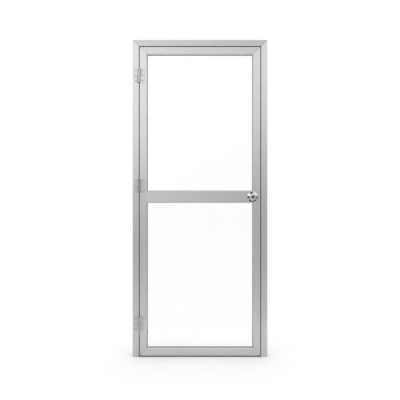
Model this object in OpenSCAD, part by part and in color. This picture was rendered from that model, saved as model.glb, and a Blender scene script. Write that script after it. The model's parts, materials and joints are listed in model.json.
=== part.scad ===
// Aluminium-framed glass door with its frame: a leaf of mitred extrusions with two panes,
// three lift-off hinges on the left and a knob lock on the right.
// Millimetres, +Z up. Origin on the floor, mid width, at the middle of the leaf's thickness.
// The front, with the hinge barrels, faces -Y. The leaf opens towards the front.

/* [Frame] */
// Overall width of the frame
frame_w = 850; // [760:5:1000]
// Overall height of the frame
frame_h = 2000; // [1950:5:2200]
// Depth of the frame, front to back
frame_depth = 60; // [58:1:70]
// Width of the frame's front face
frame_face = 39; // [38:1:46]
// How far the stop reaches behind the edge of the leaf
stop_overlap = 13; // [12:1:16]
// Wall thickness of the extrusions
wall = 2; // [1.8:0.1:2.2]
// Half of the hairline at a mitre, measured along the bar
mitre_gap = 0.75; // [0.1:0.05:0.8]

/* [Leaf] */
// Thickness of the leaf
leaf_t = 40; // [40:1:44]
// Gap between the leaf and the frame
gap = 5; // [5:0.5:6]
// Gap between the leaf and the floor
floor_gap = 7.5; // [6:0.5:12]
// Flat face of the stiles and rails
face_w = 44; // [44:1:50]
// Bevel that runs from the face towards the glass
bevel = 5; // [4:0.5:5]
// Height of the mid rail over its bevels
mid_rail_h = 76; // [76:1:90]
// Thickness of the glass
glass_t = 5; // [4:1:6]

/* [Hinges] */
// Heights of the three hinge centres above the floor
hinge_z = [209, 1078, 1775]; // [150:1:1850]
// Height of a hinge plate
hinge_h = 90; // [80:1:100]
// Reach of a hinge plate from the pin's axis
hinge_reach = 33.5; // [31:0.5:36]
// Radius of the hinge barrel
barrel_r = 7.5; // [7:0.25:7.5]
// Radius of the hinge pin
pin_r = 4; // [3.5:0.25:4.5]

/* [Lock] */
// Height of the knob above the floor, which is also the middle of the mid rail
lock_z = 1010; // [950:5:1060]
// Distance from the edge of the leaf to the spindle
backset = 50; // [50:1:55]
// Radius of the knob
knob_r = 23; // [22.5:0.5:26]
// Radius of the rose
rose_r = 33; // [32:0.5:36]
// Travel of the latch bolt
throw = 10; // [9:0.5:10]

/* [Hidden] */
$fn = 64;

// Colours
anodised = [0.80, 0.80, 0.80];
cast_alloy = [0.70, 0.70, 0.70];
chrome = [0.86, 0.86, 0.85];
steel = [0.66, 0.66, 0.66];
rubber = [0.30, 0.30, 0.31];
nylon = [0.90, 0.90, 0.87];
pane = [0.86, 0.94, 0.91, 0.35];

// Leaf box
leaf_w = frame_w - 2 * (frame_face + gap);
leaf_bottom = floor_gap;
leaf_top = frame_h - frame_face - gap;
front_y = -leaf_t / 2;
edge_round = 0.8;
clearance = 0.3;
over = 1;

// Leaf section: u runs from the outer edge towards the glass, v from the front face to the back
sight = face_w + bevel;
lip_width = 11;
tube_w = sight - lip_width;
lip_depth = 10;
seat_u = sight - 4.4;
bevel_inset = wall * tan(22.5);
groove_depth = 2.5;
groove_v = [leaf_t - 6.5, leaf_t - 3.5];

// Glazing, in the same u and v
glass_v = lip_depth + 4;
glass_u = tube_w + 3;
gasket_u = sight + 0.9;
bead_v = glass_v + glass_t + 4;
bead_wall = 1.5;
bead_foot = 2.2;
block_length = 60;
block_inset = 120;

// Bottom seal, in the same u and v; its foot stops short of the corner cleats
sweep_v = [1.5, leaf_t - 1.5];
sweep_drop = floor_gap - 1.5;
sweep_base = 2;
sweep_lip = [2.2, 3.2];
sweep_slot_w = 4;
sweep_slot_length = leaf_w - 200;

// The two panes sit in openings whose edges are one leaf section away from these heights
mid_tube = mid_rail_h / 2 - lip_width;
upper_pane = [lock_z + mid_tube - tube_w, leaf_top];
lower_pane = [leaf_bottom, lock_z - mid_tube + tube_w];

// Frame section: u runs from the wall side inwards, v from the front face to the back
stop_u = frame_face + gap + stop_overlap;
stop_v = leaf_t + 3;
seal_u = stop_u - 7.3;
seal_groove_w = 3;
seal_groove_d = 2.4;
bulb_r = 1.3;

// Wall fixings through the jambs
anchor_r = 4.1;
anchor_z = [200, 740, 1260, 1800];

// Corner cleats
cleat_leg = 72;
cleat_thick = 9;
cleat_hole_r = 4;

// Connectors in the ends of the mid rail
connector_length = 32;
connector_half_z = mid_tube - groove_depth - wall - clearance;
connector_half_y = leaf_t / 2 - wall - clearance;
peg_r = 3.5;
peg_z = 17;

// Hinges
axis_x = -leaf_w / 2 - gap / 2;
axis_y = front_y - barrel_r - clearance;
plate_t = 3;
plate_inset = barrel_r + 1.5;
plate_round = 3;
knuckle_gap = 0.75;
hinge_screw_x = 21;
hinge_screw_z = [-32, 0, 32];
hinge_screw_r = 2.1;
hinge_screw_head_r = 4;
hinge_screw_length = 12;
dome = 2;

// Lock
lock_x = leaf_w / 2 - backset;
spindle_w = 7;
spindle_reach = 24;
cross_bore_r = 11;
post_z = 19;
post_r = 4;
clamp_screw_r = 1.9;
rose_h = 9;
rose_edge = 3.6;
rose_wall = 1;
rose_plate_r = 29;
rose_plate_t = 3;
neck_r = 12.6;
neck_bore = neck_r + 0.4;
neck_start = 3.6;
ball_s = 32;
ball_half = 18;
ball_power = 2.3;
knob_rim_r = 16;
dish_r = 14;
dish_depth = 4.5;
knob_front_s = ball_s + ball_half * pow(1 - pow(knob_rim_r / knob_r, ball_power), 1 / ball_power);
plug_r = 9;
plug_start = 27;
keyway = [2.2, 9, 7];
button_bar = [4.5, 15];

// Latch
case_r = 12;
case_wall = 1.2;
case_length = backset + 14;
turn_angle = 70;
lobe_lean = turn_angle / 2;
lobe_r = 9;
lobe_tip_r = 1.4;
lobe_t = 5.6;
hub_r = 5.8;
bolt_r = 9.3;
bolt_half = 6.2;
bolt_back = 14;
tail_x = [6.3, 8.8];
tail_half = 5.4;
tail_slot_half = 3.2;
ear_gap = 1.4;
ear_u = backset - lobe_r * sin(lobe_lean) + lobe_tip_r + ear_gap;
ear_t = 2.4;
tail_slot_u = 38;
partition_u = 36;
spring_r = 4.6;
spring_wire_r = 0.45;
spring_turns = 6;
faceplate = [2, 25, 57];
faceplate_screw_z = 20.6;
strike = [1.5, 24, 64];
strike_hole = [14.4, 21];
strike_screw_z = 25;
small_screw_r = 1.75;
small_head_r = 3.4;

// Unit vector
function unit(v) = v / norm(v);

// Points of the arc of radius r that rounds the corner b between a and c, or b itself if r is 0
function corner_arc(a, b, c, r, steps = 4) =
    r == 0 ? [b] :
    let (
        to_a = unit(a - b),
        to_c = unit(c - b),
        half = acos(to_a * to_c) / 2,
        centre = b + unit(to_a + to_c) * r / sin(half),
        from = b + to_a * r / tan(half) - centre,
        to = b + to_c * r / tan(half) - centre,
        sweep = 180 - 2 * half
    )
    [
        for (i = [0:steps])
            let (t = i / steps)
            centre + (sin(sweep * (1 - t)) * from + sin(sweep * t) * to) / sin(sweep)
    ];

// Outline whose corners are given as [u, v, radius]
function rounded(corners) =
    let (n = len(corners), xy = [for (c = corners) [c[0], c[1]]])
    [for (i = [0:n - 1]) each corner_arc(xy[(i + n - 1) % n], xy[i], xy[(i + 1) % n], corners[i][2])];

// Outline of a leaf section from u0 to the sight line; the lip ends in the seat of the front gasket
function leaf_outline(u0, outer_round) = rounded([
    [u0, 0, outer_round],
    [face_w, 0, edge_round],
    [sight, bevel, edge_round],
    [sight, lip_depth, 0],
    [seat_u, lip_depth, 0],
    [seat_u, lip_depth - wall, 0],
    [sight - wall, lip_depth - wall, 0],
    [sight - wall, bevel + bevel_inset, 0],
    [face_w - bevel_inset, wall, 0],
    [tube_w, wall, 0],
    [tube_w, groove_v[0], 0],
    [tube_w - groove_depth, groove_v[0], 0],
    [tube_w - groove_depth, groove_v[1], 0],
    [tube_w, groove_v[1], 0],
    [tube_w, leaf_t, 0],
    [u0, leaf_t, outer_round]
]);

// Hollow of a leaf section, which keeps a wall round the bead's groove
function leaf_chamber(u0) = [
    [u0, wall],
    [tube_w - wall, wall],
    [tube_w - wall, groove_v[0] - wall],
    [tube_w - groove_depth - wall, groove_v[0] - wall],
    [tube_w - groove_depth - wall, leaf_t - wall],
    [u0, leaf_t - wall]
];

// Section of the stiles and of the top and bottom rails
module leaf_section() {
    difference() {
        polygon(leaf_outline(0, edge_round));
        polygon(leaf_chamber(wall));
    }
}

// Half of the mid rail's section, from its middle to one sight line, moved so that the middle is at 0
module mid_half_section() {
    middle = sight - mid_rail_h / 2;
    translate([-middle, 0])
        difference() {
            polygon(leaf_outline(middle, 0));
            polygon(leaf_chamber(middle - over));
        }
}

// Section of the mid rail, with a lip and a bead groove on both sides
module mid_section() {
    mid_half_section();
    mirror([1, 0]) mid_half_section();
}

// Solid outline of a stile's lip, which the end of the mid rail is coped over
module lip_block() {
    polygon([
        [tube_w, -over],
        [face_w - over, -over],
        [sight, bevel],
        [sight, lip_depth],
        [tube_w, lip_depth]
    ]);
}

// Section of the frame: a box, and behind the leaf a hollow stop with the seal's groove
module frame_section() {
    groove_end = seal_u + seal_groove_w;
    difference() {
        polygon(rounded([
            [0, 0, edge_round],
            [frame_face, 0, edge_round],
            [frame_face, stop_v, 0],
            [seal_u, stop_v, 0],
            [seal_u, stop_v + seal_groove_d, 0],
            [groove_end, stop_v + seal_groove_d, 0],
            [groove_end, stop_v, 0],
            [stop_u, stop_v, edge_round],
            [stop_u, frame_depth, edge_round],
            [0, frame_depth, edge_round]
        ]));
        polygon([
            [wall, wall],
            [frame_face - wall, wall],
            [frame_face - wall, stop_v - wall],
            [wall, stop_v - wall]
        ]);
        polygon([
            [wall, stop_v],
            [frame_face - wall, stop_v],
            [frame_face - wall, stop_v + wall],
            [seal_u - wall, stop_v + wall],
            [seal_u - wall, stop_v + seal_groove_d + wall],
            [groove_end + wall, stop_v + seal_groove_d + wall],
            [groove_end + wall, stop_v + wall],
            [stop_u - wall, stop_v + wall],
            [stop_u - wall, frame_depth - wall],
            [wall, frame_depth - wall]
        ]);
    }
}

// Section of the stop seal: a foot in the groove, a neck and a bulb in front of the stop
module seal_section() {
    middle = seal_u + seal_groove_w / 2;
    foot = seal_groove_w - 0.3;
    translate([middle - foot / 2, stop_v + 0.1]) square([foot, seal_groove_d - 0.2]);
    translate([middle - bulb_r / 2, stop_v - bulb_r]) square([bulb_r, bulb_r + 0.2]);
    translate([middle, stop_v - bulb_r - 0.1]) circle(r = bulb_r, $fn = 32);
}

// Section of a glazing bead: a hollow box that repeats the bevel of the leaf on its back
module bead_section() {
    inset = bead_wall * tan(22.5);
    difference() {
        polygon(rounded([
            [tube_w + 0.1, bead_v, 0],
            [sight, bead_v, 0],
            [sight, leaf_t - bevel, edge_round],
            [face_w, leaf_t, edge_round],
            [tube_w + 0.1, leaf_t, 0]
        ]));
        polygon([
            [tube_w + 0.1 + bead_wall, bead_v + bead_wall],
            [sight - bead_wall, bead_v + bead_wall],
            [sight - bead_wall, leaf_t - bevel - inset],
            [face_w - inset, leaf_t - bead_wall],
            [tube_w + 0.1 + bead_wall, leaf_t - bead_wall]
        ]);
    }
}

// Foot that snaps the bead into its groove
module bead_foot_section() {
    translate([tube_w - bead_foot, groove_v[0] + 0.2])
        square([bead_foot + bead_wall, groove_v[1] - groove_v[0] - 0.4]);
}

// Section of the bottom seal: a flat base under the rail with a lip at the front and one at the back
module sweep_section() {
    front = sweep_v[0];
    back = sweep_v[1];
    polygon([
        [0, front],
        [-sweep_drop, front],
        [-sweep_drop, front + sweep_lip[0]],
        [-sweep_base, front + sweep_lip[1]],
        [-sweep_base, back - sweep_lip[1]],
        [-sweep_drop, back - sweep_lip[0]],
        [-sweep_drop, back],
        [0, back]
    ]);
}

// Foot of the bottom seal: a neck through the rail's slot and a wider head above the wall
module sweep_foot_section() {
    neck = sweep_slot_w - 0.4;
    translate([-sweep_base / 2, (leaf_t - neck) / 2]) square([sweep_base / 2 + wall + 0.2, neck]);
    translate([wall + 0.1, leaf_t / 2 - neck]) square([1.4, 2 * neck]);
}

// A section drawn out along +Z and cut at 45 degrees at its start, its end or both
module mitred_bar(length, reach_u, reach_v, at_start = true, at_end = true) {
    start = at_start ? [mitre_gap - over, reach_u + mitre_gap] : [0, 0];
    end = at_end ? [length + over - mitre_gap, length - reach_u - mitre_gap] : [length, length];
    intersection() {
        linear_extrude(length) children();
        translate([0, reach_v + over, 0])
            rotate([90, 0, 0])
            linear_extrude(reach_v + 2 * over)
            polygon([[-over, start[0]], [reach_u, start[1]], [reach_u, end[1]], [-over, end[0]]]);
    }
}

// Places for a bar: its u axis points from that edge of a box into the box
module left_edge(width, bottom) {
    translate([-width / 2, front_y, bottom]) children();
}

module right_edge(width, bottom) {
    mirror([1, 0, 0]) left_edge(width, bottom) children();
}

module top_edge(width, top) {
    translate([-width / 2, front_y, top]) rotate([0, 90, 0]) children();
}

module bottom_edge(width, bottom) {
    translate([-width / 2, front_y, bottom]) mirror([0, 0, 1]) rotate([0, 90, 0]) children();
}

// Rods along X and along Y, for bores and screws
module rod_x(r, from, to) {
    translate([from, 0, 0]) rotate([0, 90, 0]) cylinder(r = r, h = to - from);
}

module rod_y(r, from, to) {
    translate([0, to, 0]) rotate([90, 0, 0]) cylinder(r = r, h = to - from);
}

// Countersunk screw along +Z whose flat head ends at the height 0
module countersunk_screw(shank_r, head_r, length) {
    head_h = head_r - shank_r;
    translate([0, 0, -length]) cylinder(r = shank_r, h = length - head_h + 0.01);
    translate([0, 0, -head_h]) cylinder(r1 = shank_r, r2 = head_r, h = head_h);
}

// Frame

module frame_jamb() {
    difference() {
        left_edge(frame_w, 0)
            mitred_bar(frame_h, stop_u, frame_depth, at_start = false)
            frame_section();
        for (z = anchor_z)
            translate([0, 0, z]) rod_x(anchor_r, -frame_w / 2 - over, -frame_w / 2 + frame_face + over);
    }
}

module frame_head() {
    color(anodised)
        top_edge(frame_w, frame_h)
        mitred_bar(frame_w, stop_u, frame_depth)
        frame_section();
}

module frame_jamb_hinge() {
    color(anodised)
        difference() {
            frame_jamb();
            hinge_screw_holes(-1);
        }
}

module frame_jamb_lock() {
    color(anodised)
        difference() {
            mirror([1, 0, 0]) frame_jamb();
            at_strike() {
                translate([-over, -strike_hole[0] / 2 - 1, -strike_hole[1] / 2 - 1])
                    cube([wall + 2 * over, strike_hole[0] + 2, strike_hole[1] + 2]);
                for (side = [-1, 1])
                    translate([0, 0, side * strike_screw_z]) rod_x(small_screw_r + 0.1, -over, wall + over);
            }
        }
}

// Slice of an L-shaped connector with a round hole in each leg, for the front hollow of a section
module cleat(width, depth) {
    inset = wall + clearance;
    translate([0, depth[0] + inset, 0])
        rotate([-90, 0, 0])
        mirror([0, 1, 0])
        linear_extrude(depth[1] - depth[0] - 2 * inset)
        difference() {
            translate([inset, inset]) square([cleat_leg, cleat_leg]);
            translate([width - inset, width - inset]) square([cleat_leg, cleat_leg]);
            translate([inset + cleat_thick, inset + cleat_thick])
                square([width - 2 * (inset + cleat_thick), width - 2 * (inset + cleat_thick)]);
            for (p = [[width / 2, cleat_leg - 10], [cleat_leg - 10, width / 2]])
                translate(p) circle(r = cleat_hole_r);
        }
}

module frame_corner_cleats() {
    color(cast_alloy)
        for (side = [0, 1])
            mirror([side, 0, 0])
            translate([-frame_w / 2, front_y, frame_h])
            mirror([0, 0, 1])
            cleat(frame_face, [0, stop_v - wall]);
}

module seal_head() {
    color(rubber)
        top_edge(frame_w, frame_h)
        mitred_bar(frame_w, stop_u, frame_depth)
        seal_section();
}

module seal_hinge_jamb() {
    color(rubber)
        left_edge(frame_w, 0)
        mitred_bar(frame_h, stop_u, frame_depth, at_start = false)
        seal_section();
}

module seal_lock_jamb() {
    color(rubber) mirror([1, 0, 0]) seal_hinge_jamb();
}

// Point on the lock jamb's inner face at the height of the latch
module at_strike() {
    translate([frame_w / 2 - frame_face, 0, lock_z]) children();
}

module strike_plate() {
    color(steel)
        at_strike()
        difference() {
            translate([-strike[0], 0, 0])
                rotate([90, 0, 90])
                linear_extrude(strike[0])
                difference() {
                    polygon(rounded([
                        [-strike[1] / 2 - 5, -strike[2] / 4, 3],
                        [-strike[1] / 2, -strike[2] / 4, 0],
                        [-strike[1] / 2, -strike[2] / 2, 3],
                        [strike[1] / 2, -strike[2] / 2, 3],
                        [strike[1] / 2, strike[2] / 2, 3],
                        [-strike[1] / 2, strike[2] / 2, 3],
                        [-strike[1] / 2, strike[2] / 4, 0],
                        [-strike[1] / 2 - 5, strike[2] / 4, 3]
                    ]));
                    square(strike_hole, center = true);
                }
            strike_screw_set(clearance / 3);
        }
}

// The strike's two screws, or with growth their countersinks
module strike_screw_set(growth = 0) {
    for (side = [-1, 1])
        translate([-strike[0], 0, side * strike_screw_z])
            rotate([0, -90, 0])
            countersunk_screw(small_screw_r + growth, small_head_r + growth, 10);
}

module strike_screws() {
    color(steel) at_strike() strike_screw_set();
}

// Leaf

module stile_hinge() {
    color(anodised)
        difference() {
            left_edge(leaf_w, leaf_bottom)
                mitred_bar(leaf_top - leaf_bottom, sight, leaf_t)
                leaf_section();
            hinge_screw_holes(1);
            connector_peg_holes(-1);
        }
}

module stile_lock() {
    color(anodised)
        difference() {
            right_edge(leaf_w, leaf_bottom)
                mitred_bar(leaf_top - leaf_bottom, sight, leaf_t)
                leaf_section();
            connector_peg_holes(1);
            translate([0, 0, lock_z]) rod_x(case_r + 0.1, leaf_w / 2 - tube_w - over, leaf_w / 2 + over);
            lock_bores();
            for (side = [-1, 1])
                translate([0, 0, lock_z + side * faceplate_screw_z])
                    rod_x(small_screw_r + 0.1, leaf_w / 2 - wall - over, leaf_w / 2 + over);
        }
}

module rail_top() {
    color(anodised)
        top_edge(leaf_w, leaf_top)
        mitred_bar(leaf_w, sight, leaf_t)
        leaf_section();
}

module rail_bottom() {
    color(anodised)
        difference() {
            bottom_edge(leaf_w, leaf_bottom)
                mitred_bar(leaf_w, sight, leaf_t)
                leaf_section();
            bottom_edge(sweep_slot_length, leaf_bottom)
                linear_extrude(sweep_slot_length)
                translate([-over, (leaf_t - sweep_slot_w) / 2])
                square([wall + 2 * over, sweep_slot_w]);
        }
}

// Rubber strip under the bottom rail
module bottom_seal() {
    length = leaf_w - 1;
    foot_length = sweep_slot_length - 1;
    color(rubber)
        union() {
            bottom_edge(length, leaf_bottom) linear_extrude(length) sweep_section();
            bottom_edge(foot_length, leaf_bottom) linear_extrude(foot_length) sweep_foot_section();
        }
}

module rail_mid() {
    length = leaf_w - 2 * tube_w;
    color(anodised)
        difference() {
            translate([-length / 2, front_y, lock_z])
                rotate([0, 90, 0])
                linear_extrude(length)
                mid_section();
            for (side = [0, 1])
                mirror([side, 0, 0])
                left_edge(leaf_w, lock_z - mid_rail_h)
                linear_extrude(2 * mid_rail_h)
                lip_block();
            lock_bores();
        }
}

module leaf_corner_cleats() {
    color(cast_alloy)
        for (side = [0, 1], upper = [0, 1])
            mirror([side, 0, 0])
            translate([-leaf_w / 2, front_y, upper == 1 ? leaf_top : leaf_bottom])
            mirror([0, 0, upper])
            cleat(tube_w - groove_depth, [0, leaf_t]);
}

// Block in the end of the mid rail with two pegs in the stile, cut back where the stile's lip passes;
// the latch case goes through its bore
module mid_rail_connector() {
    face_x = leaf_w / 2 - tube_w;
    difference() {
        union() {
            translate([face_x - connector_length, -connector_half_y, lock_z - connector_half_z])
                cube([connector_length, 2 * connector_half_y, 2 * connector_half_z]);
            for (side = [-1, 1])
                translate([0, 0, lock_z + side * peg_z]) rod_x(peg_r, face_x - over, face_x + wall + 0.5);
        }
        translate([face_x - lip_width - clearance, front_y, lock_z - mid_rail_h])
            cube([lip_width + clearance + over, lip_depth + clearance, 2 * mid_rail_h]);
        translate([0, 0, lock_z]) rod_x(case_r + 0.4, face_x - connector_length - over, face_x + over);
        lock_bores();
    }
}

module mid_rail_connectors() {
    color(cast_alloy) {
        mid_rail_connector();
        mirror([1, 0, 0]) mid_rail_connector();
    }
}

// Holes in a stile's inner wall for the connector's pegs
module connector_peg_holes(side) {
    for (level = [-1, 1])
        translate([side * (leaf_w / 2 - tube_w + wall / 2), 0, lock_z + level * peg_z])
            rod_x(peg_r + 0.1, -wall, wall);
}

// Slab between two depths, inset on all sides from a pane's opening
module pane_slab(opening, inset, from_v, to_v) {
    translate([-leaf_w / 2 + inset, front_y + from_v, opening[0] + inset])
        cube([leaf_w - 2 * inset, to_v - from_v, opening[1] - opening[0] - 2 * inset]);
}

module glass(opening) {
    color(pane) pane_slab(opening, glass_u, glass_v, glass_v + glass_t);
}

module gasket(opening, from_v, to_v) {
    color(rubber)
        difference() {
            pane_slab(opening, seat_u, from_v, to_v);
            pane_slab(opening, gasket_u, from_v - over, to_v + over);
        }
}

module gasket_front(opening) {
    gasket(opening, lip_depth, glass_v);
}

module gasket_back(opening) {
    gasket(opening, glass_v + glass_t, bead_v);
}

// Glazing bead for one side of an opening: the box is mitred, and the foot stops short of the corners
module bead(length) {
    foot_end = sight + 4;
    color(anodised) {
        mitred_bar(length, sight, leaf_t) bead_section();
        translate([0, 0, foot_end]) linear_extrude(length - 2 * foot_end) bead_foot_section();
    }
}

module bead_top(opening) {
    top_edge(leaf_w, opening[1]) bead(leaf_w);
}

module bead_bottom(opening) {
    bottom_edge(leaf_w, opening[0]) bead(leaf_w);
}

module bead_left(opening) {
    left_edge(leaf_w, opening[0]) bead(opening[1] - opening[0]);
}

module bead_right(opening) {
    right_edge(leaf_w, opening[0]) bead(opening[1] - opening[0]);
}

module setting_blocks() {
    width = glass_t + 4;
    color(nylon)
        for (opening = [upper_pane, lower_pane], side = [-1, 1])
            translate([
                side * (leaf_w / 2 - tube_w - block_inset) - block_length / 2,
                front_y + glass_v - 2,
                opening[0] + tube_w
            ])
            cube([block_length, width, glass_u - tube_w]);
}

// Hinges

// Screw holes of the hinge plates in the frame (side -1) or in the stile (side 1)
module hinge_screw_holes(side) {
    for (z = hinge_z, dz = hinge_screw_z)
        translate([axis_x + side * hinge_screw_x, 0, z + dz])
            rod_y(hinge_screw_r + 0.1, front_y - over, front_y + wall + over);
}

// The screws of one side's plates, or with growth their countersinks
module hinge_screw_set(side, heights, growth = 0) {
    for (z = heights, dz = hinge_screw_z)
        translate([axis_x + side * hinge_screw_x, front_y - plate_t, z + dz])
            rotate([90, 0, 0])
            countersunk_screw(hinge_screw_r + growth, hinge_screw_head_r + growth, hinge_screw_length);
}

// Knuckle with a domed end, from the joint between the knuckles upwards
module knuckle(bore_r) {
    height = hinge_h / 2;
    difference() {
        rotate_extrude()
            polygon([
                [0, knuckle_gap],
                [barrel_r, knuckle_gap],
                [barrel_r, height - dome],
                [barrel_r - dome / 3, height - dome / 3],
                [barrel_r - dome, height],
                [0, height]
            ]);
        cylinder(r = bore_r, h = height - 2 * dome);
    }
}

// Web that carries the plate into the barrel, as a section about the pin's axis
module knuckle_web() {
    back = front_y - axis_y;
    translate([0, 0, knuckle_gap])
        linear_extrude(hinge_h / 2 - knuckle_gap - dome)
        difference() {
            polygon([
                [0, back],
                [plate_inset + 5, back],
                [plate_inset + 5, back - plate_t],
                [barrel_r - 0.4, -1.5],
                [0, 0]
            ]);
            circle(r = pin_r + over);
        }
}

// One hinge half about its axis: a plate to +X over the whole height, and a knuckle over the upper half
module hinge_half(bore_r) {
    back = front_y - axis_y;
    translate([0, back, 0])
        rotate([90, 0, 0])
        linear_extrude(plate_t)
        polygon(rounded([
            [plate_inset, -hinge_h / 2, 0],
            [hinge_reach, -hinge_h / 2, plate_round],
            [hinge_reach, hinge_h / 2, plate_round],
            [plate_inset, hinge_h / 2, 0]
        ]));
    knuckle(bore_r);
    knuckle_web();
}

module hinge_leaf_plate(z) {
    color(cast_alloy)
        difference() {
            translate([axis_x, axis_y, z]) hinge_half(pin_r + 0.05);
            hinge_screw_set(1, [z], clearance / 3);
        }
}

module hinge_frame_plate(z) {
    color(cast_alloy)
        difference() {
            translate([axis_x, axis_y, z]) mirror([0, 0, 1]) mirror([1, 0, 0]) hinge_half(pin_r + 0.02);
            hinge_screw_set(-1, [z], clearance / 3);
        }
}

module hinge_pin(z) {
    reach = hinge_h / 2 - 2 * dome - 0.5;
    color(steel) translate([axis_x, axis_y, z - reach]) cylinder(r = pin_r, h = 2 * reach);
}

module hinge_washers() {
    color(nylon)
        for (z = hinge_z)
            translate([axis_x, axis_y, z - knuckle_gap])
            difference() {
                cylinder(r = barrel_r - 0.2, h = 2 * knuckle_gap - 0.2);
                translate([0, 0, -over]) cylinder(r = pin_r + 0.2, h = 2 * knuckle_gap + 2 * over);
            }
}

module hinge_frame_screws() {
    color(steel) hinge_screw_set(-1, hinge_z);
}

module hinge_leaf_screws() {
    color(steel) hinge_screw_set(1, hinge_z);
}

// Lock

module at_lock() {
    translate([lock_x, 0, lock_z]) children();
}

// Bores through the leaf for the latch hub and for the posts of the rose plate
module lock_bores() {
    at_lock() {
        rod_y(cross_bore_r, -leaf_t, leaf_t);
        for (side = [-1, 1])
            translate([0, 0, side * post_z]) rod_y(post_r + 0.4, -leaf_t, leaf_t);
    }
}

// Turns a shape that stands on z = 0 so that it stands out of the leaf's front or back face
module on_front() {
    at_lock() translate([0, front_y, 0]) rotate([90, 0, 0]) children();
}

module on_back() {
    mirror([0, 1, 0]) on_front() children();
}

// Pressed dish of even thickness: a rolled rim and a shallow cone up to the neck
module rose() {
    inner_edge = rose_edge - rose_wall / 2;
    color(chrome)
        rotate_extrude()
        polygon(rounded([
            [rose_r, 0, 0],
            [rose_r, rose_edge, 2.2],
            [neck_bore + 2, rose_h, 2],
            [neck_bore, rose_h, 0],
            [neck_bore, rose_h - rose_wall, 0],
            [neck_bore + 2, rose_h - rose_wall, 1.5],
            [rose_r - rose_wall, inner_edge, 1.2],
            [rose_r - rose_wall, 0, 0]
        ]));
}

module rose_front() {
    on_front() rose();
}

module rose_back() {
    on_back() rose();
}

// Mounting plate under a rose, with two posts or two screw holes
module rose_plate_disc() {
    difference() {
        cylinder(r = rose_plate_r, h = rose_plate_t);
        translate([0, 0, -over]) cylinder(r = neck_bore, h = rose_plate_t + 2 * over);
    }
}

module rose_plate_front() {
    post_length = leaf_t - 12;
    color(steel)
        on_front()
        difference() {
            union() {
                rose_plate_disc();
                for (side = [-1, 1])
                    translate([0, side * post_z, -post_length]) cylinder(r = post_r, h = post_length + over);
            }
            for (side = [-1, 1])
                translate([0, side * post_z, -post_length - over])
                    cylinder(r = clamp_screw_r + 0.05, h = post_length);
        }
}

module rose_plate_back() {
    color(steel)
        on_back()
        difference() {
            rose_plate_disc();
            for (side = [-1, 1])
                translate([0, side * post_z, -over])
                    cylinder(r = clamp_screw_r + 0.2, h = rose_plate_t + 2 * over);
        }
}

module rose_screws() {
    head_h = 2.2;
    shank = 30;
    color(steel)
        on_back()
        for (side = [-1, 1])
            translate([0, side * post_z, rose_plate_t]) {
                cylinder(r = 2 * clamp_screw_r, h = head_h);
                translate([0, 0, -shank]) cylinder(r = clamp_screw_r, h = shank + over);
            }
}

// Radius of the ball at the distance s from the leaf, a superellipse about ball_s
function ball_radius(s) = knob_r * pow(1 - pow(abs(s - ball_s) / ball_half, ball_power), 1 / ball_power);

// Ball on a neck, with a dished face; a bore takes the plug or button and a square socket the spindle
module knob() {
    steps = 22;
    back_s = ball_s - ball_half * pow(1 - pow(neck_r / knob_r, ball_power), 1 / ball_power);
    ball = [
        for (i = [0:steps])
            let (s = back_s + (knob_front_s - back_s) * (1 - cos(180 * i / steps)) / 2)
            [ball_radius(s), s]
    ];
    color(chrome)
        difference() {
            rotate_extrude()
                polygon(concat(
                    [[0, neck_start], [neck_r, neck_start]],
                    ball,
                    [
                        [dish_r, knob_front_s],
                        [plug_r + 3, knob_front_s - dish_depth],
                        [0, knob_front_s - dish_depth]
                    ]
                ));
            translate([0, 0, plug_start]) cylinder(r = plug_r, h = knob_front_s);
            translate([-spindle_w / 2 - 0.03, -spindle_w / 2 - 0.03, 0])
                cube([spindle_w + 0.06, spindle_w + 0.06, spindle_reach + 0.5]);
        }
}

module knob_front() {
    on_front() knob();
}

module knob_back() {
    on_back() knob();
}

module spindle() {
    length = leaf_t + 2 * spindle_reach;
    color(steel) at_lock() cube([spindle_w, length, spindle_w], center = true);
}

// Plug with a keyway, a little proud of the dish
module key_plug() {
    start = plug_start + clearance;
    end = knob_front_s - dish_depth + 1.2;
    color(steel)
        on_front()
        difference() {
            translate([0, 0, start]) cylinder(r = plug_r - 0.05, h = end - start);
            translate([-keyway[0] / 2, -keyway[1] / 2, end - keyway[2]])
                cube([keyway[0], keyway[1], keyway[2] + over]);
        }
}

// Round base with a thumb bar that ends level with the rim of the knob
module turn_button() {
    start = plug_start + clearance;
    base_end = knob_front_s - dish_depth + 0.8;
    color(chrome)
        on_back() {
            translate([0, 0, start]) cylinder(r = plug_r - 0.05, h = base_end - start);
            translate([0, 0, base_end - over])
                linear_extrude(knob_front_s - base_end + over)
                square(button_bar, center = true);
        }
}

// Turns a shape so that its z runs from the edge of the lock stile into the leaf and its x upwards
module at_latch() {
    translate([leaf_w / 2, 0, lock_z]) rotate([0, -90, 0]) children();
}

// Tube with round holes for the hub and a partition that the spring bears on
module latch_case() {
    partition = [11, 2 * case_r, 1.5];
    inner_r = case_r - case_wall;
    color(steel)
        at_latch() {
            difference() {
                cylinder(r = case_r, h = case_length);
                translate([0, 0, -over]) cylinder(r = inner_r, h = case_length + 2 * over);
                translate([0, 0, backset]) rod_y(hub_r + clearance, -case_r - over, case_r + over);
            }
            intersection() {
                cylinder(r = inner_r + case_wall / 2, h = case_length);
                translate([-partition[0] / 2, -partition[1] / 2, partition_u]) cube(partition);
            }
        }
}

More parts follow.
